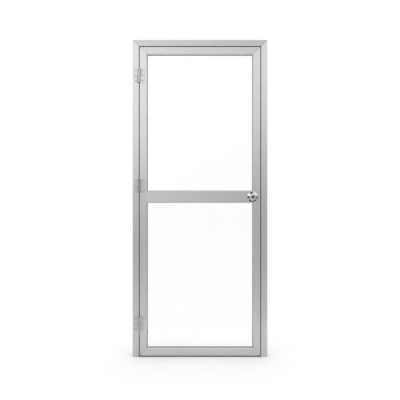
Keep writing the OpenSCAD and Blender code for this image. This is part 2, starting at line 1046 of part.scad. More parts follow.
// Sleeve on the spindle with two lobes that lean towards the bolt
module latch_hub() {
    half = case_r - 0.4;
    color(steel)
        at_latch()
        translate([0, 0, backset])
        difference() {
            union() {
                rod_y(hub_r, -half, half);
                rotate([90, 0, 0])
                    linear_extrude(lobe_t, center = true)
                    for (angle = [-lobe_lean, 180 + lobe_lean])
                        rotate(angle) {
                            translate([0, -lobe_tip_r]) square([lobe_r, 2 * lobe_tip_r]);
                            translate([lobe_r, 0]) circle(r = lobe_tip_r);
                        }
            }
            translate([-spindle_w / 2 - 0.03, -half - over, -spindle_w / 2 - 0.03])
                cube([spindle_w + 0.06, 2 * (half + over), spindle_w + 0.06]);
        }
}

// Bolt with a bevelled nose, and two tail bars that end in the ears which the lobes pull
module latch_bolt() {
    tip = -faceplate[0] - throw;
    color(steel)
        at_latch() {
            intersection() {
                translate([0, 0, tip]) cylinder(r = bolt_r, h = bolt_back - tip);
                rotate([90, 0, 90])
                    linear_extrude(2 * case_r, center = true)
                    polygon([
                        [-bolt_half, tip],
                        [-bolt_half + 1.6, tip],
                        [bolt_half, -faceplate[0] - 0.6],
                        [bolt_half, bolt_back],
                        [-bolt_half, bolt_back]
                    ]);
            }
            intersection() {
                cylinder(r = case_r - case_wall - 0.4, h = case_length);
                for (side = [0, 1])
                    mirror([side, 0, 0])
                    difference() {
                        translate([tail_x[0], -tail_half, bolt_back - over])
                            cube([tail_x[1] - tail_x[0], 2 * tail_half, ear_u + ear_t - bolt_back + over]);
                        translate([0, -tail_slot_half, tail_slot_u])
                            cube([case_r, 2 * tail_slot_half, ear_u - tail_slot_u]);
                    }
            }
        }
}

// Round wire swept along a helix between the bolt and the partition
module latch_spring() {
    sides = 8;
    per_turn = 12;
    start = bolt_back + spring_wire_r + 0.2;
    end = partition_u - spring_wire_r - 0.2;
    rings = spring_turns * per_turn;
    points = [
        for (i = [0:rings], j = [0:sides - 1])
            let (
                turn = 360 * i / per_turn,
                around = 360 * j / sides,
                r = spring_r + spring_wire_r * cos(around)
            )
            [r * cos(turn), r * sin(turn), start + (end - start) * i / rings + spring_wire_r * sin(around)]
    ];
    skin = [
        for (i = [0:rings - 1], j = [0:sides - 1])
            let (next = (j + 1) % sides)
            [i * sides + j, (i + 1) * sides + j, (i + 1) * sides + next, i * sides + next]
    ];
    caps = [[for (j = [0:sides - 1]) j], [for (j = [sides - 1:-1:0]) rings * sides + j]];
    color(steel) at_latch() polyhedron(points, concat(skin, caps));
}

// Plate on the edge of the stile that the bolt passes through
module latch_faceplate() {
    hole_half = bolt_half + 0.2;
    color(steel)
        at_latch()
        translate([0, 0, -faceplate[0]])
        difference() {
            linear_extrude(faceplate[0])
                polygon(rounded([
                    [-faceplate[2] / 2, -faceplate[1] / 2, 4],
                    [faceplate[2] / 2, -faceplate[1] / 2, 4],
                    [faceplate[2] / 2, faceplate[1] / 2, 4],
                    [-faceplate[2] / 2, faceplate[1] / 2, 4]
                ]));
            intersection() {
                translate([0, 0, -over]) cylinder(r = bolt_r + 0.2, h = faceplate[0] + 2 * over);
                translate([-case_r, -hole_half, -over])
                    cube([2 * case_r, 2 * hole_half, faceplate[0] + 2 * over]);
            }
            faceplate_screw_set(clearance / 3);
        }
}

// The faceplate's two screws, or with growth their countersinks
module faceplate_screw_set(growth = 0) {
    for (side = [-1, 1])
        translate([side * faceplate_screw_z, 0, 0])
            mirror([0, 0, 1])
            countersunk_screw(small_screw_r + growth, small_head_r + growth, 12);
}

module faceplate_screws() {
    color(steel) at_latch() translate([0, 0, -faceplate[0]]) faceplate_screw_set();
}

frame_head();
frame_jamb_hinge();
frame_jamb_lock();
frame_corner_cleats();
seal_head();
seal_hinge_jamb();
seal_lock_jamb();
strike_plate();
strike_screws();
stile_hinge();
stile_lock();
rail_top();
rail_bottom();
rail_mid();
leaf_corner_cleats();
mid_rail_connectors();
glass(upper_pane);  // glass_upper
glass(lower_pane);  // glass_lower
gasket_front(upper_pane);  // gasket_upper_front
gasket_back(upper_pane);  // gasket_upper_back
gasket_front(lower_pane);  // gasket_lower_front
gasket_back(lower_pane);  // gasket_lower_back
bead_top(upper_pane);  // bead_upper_top
bead_bottom(upper_pane);  // bead_upper_bottom
bead_left(upper_pane);  // bead_upper_left
bead_right(upper_pane);  // bead_upper_right
bead_top(lower_pane);  // bead_lower_top
bead_bottom(lower_pane);  // bead_lower_bottom
bead_left(lower_pane);  // bead_lower_left
bead_right(lower_pane);  // bead_lower_right
setting_blocks();
bottom_seal();
hinge_frame_plate(hinge_z[0]);  // hinge_bottom_frame_plate
hinge_leaf_plate(hinge_z[0]);  // hinge_bottom_leaf_plate
hinge_pin(hinge_z[0]);  // hinge_bottom_pin
hinge_frame_plate(hinge_z[1]);  // hinge_middle_frame_plate
hinge_leaf_plate(hinge_z[1]);  // hinge_middle_leaf_plate
hinge_pin(hinge_z[1]);  // hinge_middle_pin
hinge_frame_plate(hinge_z[2]);  // hinge_top_frame_plate
hinge_leaf_plate(hinge_z[2]);  // hinge_top_leaf_plate
hinge_pin(hinge_z[2]);  // hinge_top_pin
hinge_washers();
hinge_frame_screws();
hinge_leaf_screws();
rose_front();
rose_back();
rose_plate_front();
rose_plate_back();
rose_screws();
knob_front();
knob_back();
spindle();
key_plug();
turn_button();
latch_case();
latch_hub();
latch_bolt();
latch_spring();
latch_faceplate();
faceplate_screws();
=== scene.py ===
# %% [markdown]
# # A glass door in its aluminium frame
#
# The solids of this door come from the CAD model: hollow extrusions with mitred corners, two panes,
# three lift-off hinges and a knob lock. This lesson gives them their finishes, replaces the turned
# and moulded pieces by finer surfaces, and sets up a camera and a plain studio.
# The first cell loads the CAD model, and a helper reads the box of any of its nodes.

# %% Load the CAD model
import json
from math import radians

import bmesh
import bpy
import numpy as np
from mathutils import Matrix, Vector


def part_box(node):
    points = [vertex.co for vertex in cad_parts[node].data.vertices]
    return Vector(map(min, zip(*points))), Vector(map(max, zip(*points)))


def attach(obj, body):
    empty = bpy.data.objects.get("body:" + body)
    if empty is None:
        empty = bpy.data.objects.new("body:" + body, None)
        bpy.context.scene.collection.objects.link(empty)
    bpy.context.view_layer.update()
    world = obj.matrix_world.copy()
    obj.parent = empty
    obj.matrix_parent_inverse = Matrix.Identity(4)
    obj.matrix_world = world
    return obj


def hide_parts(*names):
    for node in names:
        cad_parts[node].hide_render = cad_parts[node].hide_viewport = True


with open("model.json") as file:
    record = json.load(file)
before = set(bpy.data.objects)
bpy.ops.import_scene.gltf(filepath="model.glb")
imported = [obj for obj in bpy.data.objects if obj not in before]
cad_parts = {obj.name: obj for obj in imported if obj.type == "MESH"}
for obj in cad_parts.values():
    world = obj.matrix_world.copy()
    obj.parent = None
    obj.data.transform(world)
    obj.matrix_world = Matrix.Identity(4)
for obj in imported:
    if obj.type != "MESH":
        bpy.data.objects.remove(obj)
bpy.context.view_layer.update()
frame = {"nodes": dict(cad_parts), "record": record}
nodes = frame["nodes"]
slot_of = {part["node"]: part["material_slot"] for part in frame["record"]["subparts"]}

# %% [markdown]
# ## Places and sizes
#
# Everything new is fitted to the CAD solids, so the few places that the pieces share are read from
# the nodes' boxes: the front and the back of the leaf, and the axis of the knob.
# Millimetres are handy for such small pieces, so one constant turns them into metres.

# %% Places taken from the nodes
MM = 0.001

stile_low, stile_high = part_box("stile_lock")
rose_low, rose_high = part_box("rose_front")
face_y = stile_low.y
back_y = stile_high.y
lock_x = (rose_low.x + rose_high.x) / 2
lock_z = (rose_low.z + rose_high.z) / 2
print("knob axis", round(lock_x, 4), round(lock_z, 4), "leaf from", round(face_y, 4), "to", round(back_y, 4))

# %% [markdown]
# ## Camera
#
# The picture is taken straight from the front with no tilt, so that all uprights stay parallel.
# The eye is a little above the knob, and the lens is shifted down instead of tilting the camera,
# as an architectural photographer would do it.
# The lens follows from two facts: how far the camera stands, and how wide the picture is at the door.

# %% Camera
EYE_DISTANCE = 3.10
EYE_HEIGHT = 1.150
PICTURE_WIDTH = 2.524
PICTURE_MIDDLE = 0.990

camera_data = bpy.data.cameras.new("camera")
camera_data.sensor_width = 36.0
camera_data.lens = camera_data.sensor_width * EYE_DISTANCE / PICTURE_WIDTH
camera_data.shift_y = (PICTURE_MIDDLE - EYE_HEIGHT) / PICTURE_WIDTH
camera = bpy.data.objects.new("camera", camera_data)
camera.location = (0.0, face_y - EYE_DISTANCE, EYE_HEIGHT)
camera.rotation_euler = (radians(90), 0, 0)
bpy.context.scene.collection.objects.link(camera)
bpy.context.scene.camera = camera
bpy.context.scene.view_settings.view_transform = "Standard"
print("lens", round(camera_data.lens, 1), "mm, shift", round(camera_data.shift_y, 4))

# %% [markdown]
# ## Two helpers for materials
#
# Colours are written as the hex values that a paint program shows. Shaders work with linear light,
# so one function converts them. The other adds a node, fills its sockets and links it, because
# every material below is a handful of such nodes.

# %% Colour and node helpers
def linear(hex_colour):
    """sRGB hex to linear RGBA. A channel up to 0.04045 is divided by 12.92. For one above that, 0.055 is
    added, and the sum is divided by 1.055 and raised to the power 2.4."""
    srgb = np.array([int(hex_colour[i:i + 2], 16) for i in (1, 3, 5)]) / 255
    rgb = np.where(srgb <= 0.04045, srgb / 12.92, ((srgb + 0.055) / 1.055) ** 2.4)
    return (*rgb.tolist(), 1.0)


def add_node(tree, kind, inputs, **settings):
    """Adds one node. inputs maps a socket's name or number to a value, to another node's output, or to a
    node, which stands for its first output. settings are the node's own options, such as its operation."""
    node = tree.nodes.new(kind)
    for name, value in settings.items():
        setattr(node, name, value)
    for key, value in inputs.items():
        source = value.outputs[0] if isinstance(value, bpy.types.Node) else value
        if isinstance(source, bpy.types.NodeSocket):
            tree.links.new(source, node.inputs[key])
        else:
            node.inputs[key].default_value = source
    return node


print("mid grey", [round(v, 3) for v in linear("#808080")])

# %% [markdown]
# ## Studio
#
# Satin metal shows little of its own colour: what the eye sees is the room around it. The room could be
# built from lamps and panels. Here it is the world's colour, worked out from the direction alone, because
# a few nodes are then the whole room, and nothing of it can stand in the picture.
# The first cell takes the direction apart: x runs to the right, y away from the camera and z up,
# each from -1 to 1.

# %% Directions
world = bpy.data.worlds.new("studio")
bpy.context.scene.world = world
world.use_nodes = True
tree = world.node_tree
tree.nodes.clear()
direction = add_node(tree, "ShaderNodeTexCoord", {})
axes = add_node(tree, "ShaderNodeSeparateXYZ", {0: direction.outputs["Generated"]})
x, y, z = (axes.outputs[axis] for axis in "XYZ")
print("world", world.name, "reads", [socket.name for socket in (x, y, z)])

# %% [markdown]
# ## Walls
#
# In front of the door, behind the camera, hangs a large soft light that ends at eye level. Its edge slopes
# down to the left. Below it the wall is grey, and lighter again near the floor. The uprights mirror all that
# from top to bottom, so their slow change from light to dark is drawn here, as a ramp of greys over the
# height. The wall is brighter on the left than on the right. Towards the sides a plainer ramp takes over,
# and at the far sides one pale grey.

# %% Walls
FRONT_GREYS = ((0.00, "#DCDCDC"), (0.375, "#DCDCDC"), (0.42, "#C8C8C8"), (0.445, "#B6B6B6"),
               (0.475, "#BCBCBC"), (0.50, "#DADADA"), (0.52, "#F2F2F2"), (0.54, "#FCFCFC"), (1.00, "#FCFCFC"))
SIDE_GREYS = ((0.00, "#C4C4C4"), (0.40, "#C4C4C4"), (0.57, "#FFFFFF"), (1.00, "#FFFFFF"))
FAR_GREY = "#F0F0F0"
EDGE_SLOPE = 0.3
WALL_LIGHT = 1.55
LEVEL_FROM, LEVEL_TO = (-0.2, 0.17), (1.17, 0.73)
SIDES_FROM, FAR_FROM = (0.32, 0.44), (0.80, 0.92)

sloped = add_node(tree, "ShaderNodeMath", {0: x, 1: -EDGE_SLOPE, 2: z}, operation="MULTIPLY_ADD")
ramps = []
for height, greys in ((sloped, FRONT_GREYS), (z, SIDE_GREYS)):
    share = add_node(tree, "ShaderNodeMapRange", {0: height, 1: -1.0, 2: 1.0})
    ramp = add_node(tree, "ShaderNodeValToRGB", {0: share})
    stops = ramp.color_ramp.elements
    for place, grey in greys[1:-1]:
        stops.new(place)
    for stop, (place, grey) in zip(stops, greys):
        stop.position = place
        stop.color = linear(grey)
    ramps.append(ramp)

level = add_node(tree, "ShaderNodeMapRange", {0: x, 1: LEVEL_FROM[0], 2: LEVEL_FROM[1],
                                              3: LEVEL_TO[0] * WALL_LIGHT, 4: LEVEL_TO[1] * WALL_LIGHT})
front = add_node(tree, "ShaderNodeVectorMath", {0: ramps[0], 1: level}, operation="MULTIPLY")
sides = add_node(tree, "ShaderNodeVectorMath", {0: ramps[1], 1: [WALL_LIGHT] * 3}, operation="MULTIPLY")
aside = add_node(tree, "ShaderNodeMath", {0: x}, operation="ABSOLUTE")
room = front.outputs[0]
for limits, colour in ((SIDES_FROM, sides), (FAR_FROM, linear(FAR_GREY))):
    share = add_node(tree, "ShaderNodeMapRange", {0: aside, 1: limits[0], 2: limits[1]})
    room = add_node(tree, "ShaderNodeMix", {"Factor": share, 6: room, 7: colour}, data_type="RGBA").outputs[2]
print("front wall with", len(FRONT_GREYS), "greys, side walls with", len(SIDE_GREYS))

# %% [markdown]
# ## Dark gaps
#
# Polished chrome needs something dark to mirror, or its outline is lost against the pale metal around it.
# A photographer sets up black cards for that. Here they are four boxes in the wall, each with a soft edge:
# one high up, one on either side and a wide one low down. Each draws one dark mark on the rose of the knob.
# A box is its middle in x and z and its half widths. A direction lies in it as far as it is within both.

# %% Dark gaps
GAP_GREY, GAP_EDGE = "#202020", 0.04
GAPS = ((-0.07, 0.50, 0.18, 0.07), (-0.58, -0.09, 0.20, 0.13),
        (0.67, -0.09, 0.22, 0.17), (0.25, -0.56, 0.60, 0.14))

for gap_x, gap_z, half_x, half_z in GAPS:
    within = []
    for axis, centre, half in ((x, gap_x, half_x), (z, gap_z, half_z)):
        away = add_node(tree, "ShaderNodeMath", {0: axis, 1: centre}, operation="SUBTRACT")
        away = add_node(tree, "ShaderNodeMath", {0: away}, operation="ABSOLUTE")
        within.append(add_node(tree, "ShaderNodeMapRange", {0: away, 1: half + GAP_EDGE, 2: half}))
    inside = add_node(tree, "ShaderNodeMath", {0: within[0], 1: within[1]}, operation="MINIMUM")
    room = add_node(tree, "ShaderNodeMix", {"Factor": inside, 6: room, 7: linear(GAP_GREY)},
                    data_type="RGBA").outputs[2]
print(len(GAPS), "dark gaps at", [(gap[0], gap[1]) for gap in GAPS])

# %% [markdown]
# ## Backdrop and white
#
# Behind the door the room is white, and a second soft light overhead throws the shadows down.
# The picture needs a plain white background, and more light would only bleach the door. So the world asks
# which kind of ray arrives. The camera, and a ray that has passed through glass, see white from all sides,
# at a strength of 1. A mirrored ray sees that white behind the door, and in front of the door it sees the
# studio, because the greys of the metal are the studio's reflection.

# %% Backdrop and white
BACKDROP_LIGHT, TOP_LIGHT, WHITE = 1.05, 1.20, 1.0
BEHIND_FROM, TOP_FROM = (0.1, 0.5), (0.62, 0.90)

behind = add_node(tree, "ShaderNodeMapRange", {0: y, 1: BEHIND_FROM[0], 2: BEHIND_FROM[1]})
above = add_node(tree, "ShaderNodeMapRange", {0: z, 1: TOP_FROM[0], 2: TOP_FROM[1]})
ray = add_node(tree, "ShaderNodeLightPath", {})
seen = add_node(tree, "ShaderNodeMath", {0: ray.outputs["Is Glossy Ray"], 1: behind}, operation="MULTIPLY")
for kind in ("Is Camera Ray", "Is Transmission Ray"):
    seen = add_node(tree, "ShaderNodeMath", {0: ray.outputs[kind], 1: seen}, operation="MAXIMUM")
for share, light in ((behind, BACKDROP_LIGHT), (above, TOP_LIGHT), (seen, WHITE)):
    room = add_node(tree, "ShaderNodeMix", {"Factor": share, 6: room, 7: [light] * 4},
                    data_type="RGBA").outputs[2]
glow = add_node(tree, "ShaderNodeBackground", {"Color": room, "Strength": 1.0})
add_node(tree, "ShaderNodeOutputWorld", {"Surface": glow})
print("world of", len(tree.nodes), "nodes")

# %% [markdown]
# ## Surfaces on a grid
#
# Every new surface in this lesson is a grid of points: rows and columns that a formula fills at once.
# One function turns such a grid into a mesh. It can join the last column to the first, which closes a tube,
# and it merges points that fall together, which closes a pole. The disc of the floor is the first such grid,
# of rings and turns: radius times cosine, radius times sine, and no height.

# %% Grid to mesh, and the floor's disc
FLOOR_RADIUS = 1.4


def grid_mesh(name, points, wrap_rows=False, wrap_columns=False, flip=False, sharp=35):
    """Mesh on a grid of points (rows, columns, 3). Each cell becomes one quad. A wrapped direction joins
    its last line to its first, and points that coincide, as at a pole, are merged."""
    rows, columns = points.shape[:2]
    index = np.arange(rows * columns).reshape(rows, columns)
    if wrap_rows:
        index = np.vstack([index, index[:1]])
    if wrap_columns:
        index = np.hstack([index, index[:, :1]])
    quads = np.stack([index[:-1, :-1], index[:-1, 1:], index[1:, 1:], index[1:, :-1]], -1).reshape(-1, 4)
    if flip:
        quads = quads[:, ::-1]
    mesh = bpy.data.meshes.new(name)
    mesh.from_pydata(points.reshape(-1, 3).tolist(), [], quads.tolist())
    cells = bmesh.new()
    cells.from_mesh(mesh)
    bmesh.ops.remove_doubles(cells, verts=cells.verts, dist=1e-7)
    cells.to_mesh(mesh)
    cells.free()
    mesh.shade_smooth()
    mesh.set_sharp_from_angle(angle=radians(sharp))
    piece = bpy.data.objects.new(name, mesh)
    bpy.context.scene.collection.objects.link(piece)
    return piece


rings = np.linspace(0, FLOOR_RADIUS, 24)[:, None]
turns = np.linspace(0, 2 * np.pi, 97)[None, :-1]
floor_points = np.stack([rings * np.cos(turns), rings * np.sin(turns), 0 * rings * turns], -1)
floor = grid_mesh("floor", floor_points, wrap_columns=True)
print("floor disc of", len(floor.data.polygons), "faces")

# %% [markdown]
# ## Floor
#
# The floor is plain pale paper, matt, and it takes the soft shadow at the foot of the frame. A photographer
# would run the paper up behind the door. Here it simply fades out, towards its rim and behind the door,
# into the white of the world, so no edge shows and the glass has white behind it.

# %% Floor paper
FLOOR_GREY = "#EEEEEE"
RIM_FROM, REAR_FROM = (1.05, 1.35), (0.10, 0.60)

floor_paper = bpy.data.materials.new("matt_white_floor")
floor_paper.use_nodes = True
tree = floor_paper.node_tree
tree.nodes.clear()
place = add_node(tree, "ShaderNodeTexCoord", {}).outputs["Object"]
radius = add_node(tree, "ShaderNodeVectorMath", {0: place}, operation="LENGTH")
depth = add_node(tree, "ShaderNodeSeparateXYZ", {0: place})
rim = add_node(tree, "ShaderNodeMapRange", {0: radius.outputs["Value"], 1: RIM_FROM[0], 2: RIM_FROM[1]})
rear = add_node(tree, "ShaderNodeMapRange", {0: depth.outputs["Y"], 1: REAR_FROM[0], 2: REAR_FROM[1]})
fade = add_node(tree, "ShaderNodeMath", {0: rim, 1: rear}, operation="MAXIMUM")
matt = add_node(tree, "ShaderNodeBsdfDiffuse", {"Color": linear(FLOOR_GREY)})
clear = add_node(tree, "ShaderNodeBsdfTransparent", {})
mixed = add_node(tree, "ShaderNodeMixShader", {0: fade, 1: matt, 2: clear})
add_node(tree, "ShaderNodeOutputMaterial", {"Surface": mixed})
floor.data.materials.append(floor_paper)
print("floor fades from", RIM_FROM[0], "to", RIM_FROM[1], "m")

# %% [markdown]
# ## Natural anodised aluminium
#
# The frame and the leaf are extruded aluminium, etched in the anodising bath to an even satin and sealed
# with a clear oxide. The eye sees a soft silver mirror: fine die lines run along each bar, and the etching
# leaves faint clouds. The die lines of a real bar are some tenths of a millimetre wide, too fine to show
# here, so they are drawn 3 mm wide. They follow the bar, so uprights and rails each have their own, and they
# spread a reflection more across the bar than along it, which a shader calls anisotropic. A picture of
# brushed metal could be wrapped round each bar, but stretched noise needs no picture and fits any bar.
# The hinges are of the same metal. Their knuckles are a darker grey around the pin: painted shade on the
# round barrels.

# %% Anodised aluminium
DIE_LINE, DIE_LENGTH, ETCH_CLOUD = 3 * MM, 900 * MM, 90 * MM
SATIN = (0.26, 0.34)
ANISOTROPY = {0: 0.4, 2: 0.7}
# The knuckles' darker grey and its reach around the pin are painted shade on the hinge barrels.
KNUCKLE_SHADE_REACH, KNUCKLE_SHADE_GREY = (7.6 * MM, 10 * MM), "#ADADAD"


def new_material(name):
    """An empty material with a Principled shader. Returns the material, its node tree and the shader."""
    material = bpy.data.materials.new(name)
    material.use_nodes = True
    tree = material.node_tree
    tree.nodes.clear()
    shader = add_node(tree, "ShaderNodeBsdfPrincipled", {})
    add_node(tree, "ShaderNodeOutputMaterial", {"Surface": shader})
    return material, tree, shader


def anodised_aluminium(name, along, dark, light, pin=None):
    """Satin metal of a bar along axis 0 or 2. The die lines are noise stretched along the bar, and the clouds
    are plain noise. Both move the colour between two greys, and the lines also move the roughness and a fine
    bump. The tangent points across the bar. Around a hinge pin the colour turns to a darker grey, painted
    shade on the knuckles, as far as the level distance from the pin's axis is under the given limits."""
    material, tree, shader = new_material(name)
    place = add_node(tree, "ShaderNodeTexCoord", {}).outputs["Object"]
    stretch, across = [1 / DIE_LINE] * 3, [0, 0, 0]
    stretch[along] = 1 / DIE_LENGTH
    across[2 - along] = 1
    lengthwise = add_node(tree, "ShaderNodeMapping", {0: place, "Scale": stretch})
    lines = add_node(tree, "ShaderNodeTexNoise", {0: lengthwise, "Scale": 1.0, "Detail": 3.0}).outputs["Fac"]
    clouds = add_node(tree, "ShaderNodeTexNoise", {0: place, "Scale": 1 / ETCH_CLOUD, "Detail": 2.0})
    shade = add_node(tree, "ShaderNodeMix", {"Factor": 0.5, 2: lines, 3: clouds.outputs["Fac"]})
    tone = add_node(tree, "ShaderNodeMix", {"Factor": shade, 6: linear(dark), 7: linear(light)},
                    data_type="RGBA")
    # Painted shade: the colour darkens on the knuckle around the pin's axis.
    if pin:
        apart = add_node(tree, "ShaderNodeVectorMath", {0: place, 1: (*pin, 0)}, operation="SUBTRACT")
        flat = add_node(tree, "ShaderNodeVectorMath", {0: apart, 1: (1, 1, 0)}, operation="MULTIPLY")
        reach = add_node(tree, "ShaderNodeVectorMath", {0: flat}, operation="LENGTH").outputs["Value"]
        knuckle_shade = add_node(tree, "ShaderNodeMapRange", {0: reach, 1: KNUCKLE_SHADE_REACH[0], 2: KNUCKLE_SHADE_REACH[1], 3: 1.0, 4: 0.0})
        tone = add_node(tree, "ShaderNodeMix", {"Factor": knuckle_shade, 6: tone.outputs[2], 7: linear(KNUCKLE_SHADE_GREY)},
                        data_type="RGBA")
    rough = add_node(tree, "ShaderNodeMapRange", {0: lines, 3: SATIN[0], 4: SATIN[1]})
    ridges = add_node(tree, "ShaderNodeBump", {"Strength": 0.06, "Distance": 0.05 * MM, "Height": lines})
    tangent = add_node(tree, "ShaderNodeCombineXYZ", dict(enumerate(across)))
    shader.inputs["Metallic"].default_value = 1.0
    shader.inputs["Anisotropic"].default_value = ANISOTROPY[along]
    tree.links.new(tone.outputs[2], shader.inputs["Base Color"])
    tree.links.new(rough.outputs[0], shader.inputs["Roughness"])
    tree.links.new(ridges.outputs[0], shader.inputs["Normal"])
    tree.links.new(tangent.outputs[0], shader.inputs["Tangent"])
    return material


print("die lines", DIE_LINE / MM, "mm wide, clouds", ETCH_CLOUD / MM, "mm")

# %% [markdown]
# ## The door's four aluminiums
#
# The head of the frame and the mid rail are painted a shade darker than the other bars: painted shade for
# the darker look that the light gives these two crosswise bars.

# %% Aluminium for uprights, rails and hinges
pin_low, pin_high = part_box("hinge_top_pin")
pin_axis = ((pin_low.x + pin_high.x) / 2, (pin_low.y + pin_high.y) / 2)
aluminium_upright = anodised_aluminium("anodised_aluminium_upright", 2, "#BCBCBC", "#C7C7C7")
aluminium_crosswise = anodised_aluminium("anodised_aluminium_crosswise", 0, "#BCBCBC", "#C7C7C7")
# Painted shade: the head of the frame and the mid rail take this darker copy of the crosswise aluminium.
aluminium_painted_shade = anodised_aluminium("anodised_aluminium_crosswise_painted_shade", 0, "#B4B4B4", "#BFBFBF")
aluminium_hinge = anodised_aluminium("anodised_aluminium_hinge", 2, "#B4B4B4", "#C2C2C2", pin_axis)
print("hinge metal darkens around", [round(v, 4) for v in pin_axis])

# %% [markdown]
# ## Plated, cast and moulded finishes
#
# The knob set is brass with polished chrome plate: a clear mirror with a trace of polishing haze. Dark nickel
# plate, a warm dark grey, is on the key plug and on the plates and the bolt in the gap beside the knob, where
# it also paints the shade of the gap.
# Pins, screws and the latch case are zinc-plated steel, greyer and duller, with the crystals of the plating,
# and the screws are a darker zinc, painted shade for their recesses. The corner cleats are die-cast alloy
# with a grainy skin. The setting blocks are pale natural nylon, and the washers in the hinges are a darker
# grey nylon.
# Gaskets and seals are black synthetic rubber, matt with a fine grain, which light and cleaning turn grey.
# The seal under the leaf is painted near-black, darker than the other rubber: painted shade in the gap under
# the leaf.
# All of them are one base colour that noise varies a little, so one function makes them
# and the numbers tell them apart.

# %% Grained finishes
ZINC = (1.2 * MM, (0.28, 0.42))


def grained(name, dark, light, grain, rough, metallic=0.0, bump=0.0):
    """A finish whose colour, roughness and relief follow one noise with grains of a real size."""
    material, tree, shader = new_material(name)
    place = add_node(tree, "ShaderNodeTexCoord", {}).outputs["Object"]
    noise = add_node(tree, "ShaderNodeTexNoise", {0: place, "Scale": 1 / grain, "Detail": 4.0}).outputs["Fac"]
    tone = add_node(tree, "ShaderNodeMix", {"Factor": noise, 6: linear(dark), 7: linear(light)},
                    data_type="RGBA")
    spread = add_node(tree, "ShaderNodeMapRange", {0: noise, 3: rough[0], 4: rough[1]})
    relief = add_node(tree, "ShaderNodeBump", {"Strength": bump, "Distance": grain, "Height": noise})
    shader.inputs["Metallic"].default_value = metallic
    tree.links.new(tone.outputs[2], shader.inputs["Base Color"])
    tree.links.new(spread.outputs[0], shader.inputs["Roughness"])
    tree.links.new(relief.outputs[0], shader.inputs["Normal"])
    return material


chrome_plate = grained("polished_chrome_plate", "#C6C6C4", "#D2D2D0", 14 * MM, (0.04, 0.09), metallic=1.0)
dark_nickel = grained("dark_nickel_plate", "#55534F", "#6B6966", 3 * MM, (0.22, 0.32), metallic=1.0)
zinc_plate = grained("zinc_plated_steel", "#A9A9A6", "#C4C4C2", *ZINC, metallic=1.0, bump=0.04)
# Painted shade: the screws are a darker zinc than the pins, for the shade in their recesses.
screw_plate_painted_shade = grained("zinc_plated_screws_painted_shade", "#90908D", "#A6A6A3", *ZINC, metallic=1.0, bump=0.04)
die_cast = grained("die_cast_alloy", "#9A9A98", "#B4B4B2", 1.5 * MM, (0.45, 0.6), metallic=1.0, bump=0.1)
natural_nylon = grained("natural_nylon", "#DEDCD2", "#E9E7DF", 2 * MM, (0.4, 0.5), bump=0.03)
grey_nylon = grained("grey_nylon", "#8B8A85", "#9C9B96", 2 * MM, (0.3, 0.4), bump=0.03)
black_rubber = grained("synthetic_rubber", "#38393B", "#47484A", 0.8 * MM, (0.55, 0.75), bump=0.08)
# Painted shade: the seal's rubber is near-black, darker than the gaskets, for the shade in the gap under the
# leaf.
sweep_rubber_painted_shade = grained("synthetic_rubber_sweep_painted_shade", "#121213", "#1C1C1E", 0.8 * MM, (0.6, 0.8), bump=0.08)
print("finishes:", [finish.name for finish in (chrome_plate, dark_nickel, zinc_plate, screw_plate_painted_shade, die_cast,
                                               natural_nylon, grey_nylon, black_rubber, sweep_rubber_painted_shade)])

# %% [markdown]
# ## Clear float glass
#
# The panes are 5 mm float glass. Float glass is clear with a faint green cast from traces of iron, and its
# faces are perfectly flat, so from the front almost nothing shows but the room behind it.
# The panes could be left open, but real glass mirrors a little of the room and shows its edges, so they are
# a shader that transmits light. A very light haze keeps it from being a mathematical mirror.
# The panes cast no shadow of their own, because clear glass lets the light through.

# %% Float glass
FILM_PATCH, HAZE_FROM, HAZE_TO = 160 * MM, (0.45, 0.9), (0.0, 0.012)

float_glass, tree, shader = new_material("clear_float_glass")
place = add_node(tree, "ShaderNodeTexCoord", {}).outputs["Object"]
film = add_node(tree, "ShaderNodeTexNoise", {0: place, "Scale": 1 / FILM_PATCH, "Detail": 3.0}).outputs["Fac"]
haze = add_node(tree, "ShaderNodeMapRange", dict(enumerate((film, *HAZE_FROM, *HAZE_TO))))
tint = add_node(tree, "ShaderNodeMix", {"Factor": film, 6: linear("#FCFEFD"), 7: linear("#FEFFFE")},
                data_type="RGBA")
shader.inputs["Transmission Weight"].default_value = 1.0
shader.inputs["IOR"].default_value = 1.52
tree.links.new(tint.outputs[2], shader.inputs["Base Color"])
tree.links.new(haze.outputs[0], shader.inputs["Roughness"])
for name in ("glass_upper", "glass_lower"):
    nodes[name].visible_shadow = False
print("glass IOR", round(shader.inputs["IOR"].default_value, 2))

# %% [markdown]
# ## Finishes on the CAD nodes
#
# Each node names a material slot in the record. The anodised bars need one more thing, their direction:
# a bar that is wider than high lies crosswise, any other stands upright. A few nodes have a finish of their
# own: the two bars with painted shade, the near-black seal under the leaf and the dark latch and strike, both
# painted shade for the gaps, and the grey washers.

# %% Assign the finishes
FINISH = {"hinge_alloy": aluminium_hinge, "cast_alloy": die_cast, "glass": float_glass,
          "chrome": chrome_plate, "steel": zinc_plate, "dark_nickel": dark_nickel,
          "gasket": black_rubber, "nylon": natural_nylon}
# Painted shade: the darker aluminium on the head and mid rail, the near-black rubber of the seal and the dark
# nickel on the latch and strike stand in for shade.
OWN_FINISH = {"frame_head": aluminium_painted_shade, "rail_mid": aluminium_painted_shade, "bottom_seal": sweep_rubber_painted_shade,
              "strike_plate": dark_nickel, "latch_faceplate": dark_nickel, "latch_bolt": dark_nickel,
              "hinge_washers": grey_nylon}


def finish_for(name):
    """The material of a node: its own, or by its slot, and for an anodised bar by its box's longer side."""
    if name in OWN_FINISH:
        return OWN_FINISH[name]
    if slot_of[name] != "anodised":
        return FINISH[slot_of[name]]
    low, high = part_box(name)
    return aluminium_crosswise if high.x - low.x > high.z - low.z else aluminium_upright


for name, node in nodes.items():
    node.data.materials.clear()
    node.data.materials.append(finish_for(name))
print("finishes on", len(nodes), "nodes")

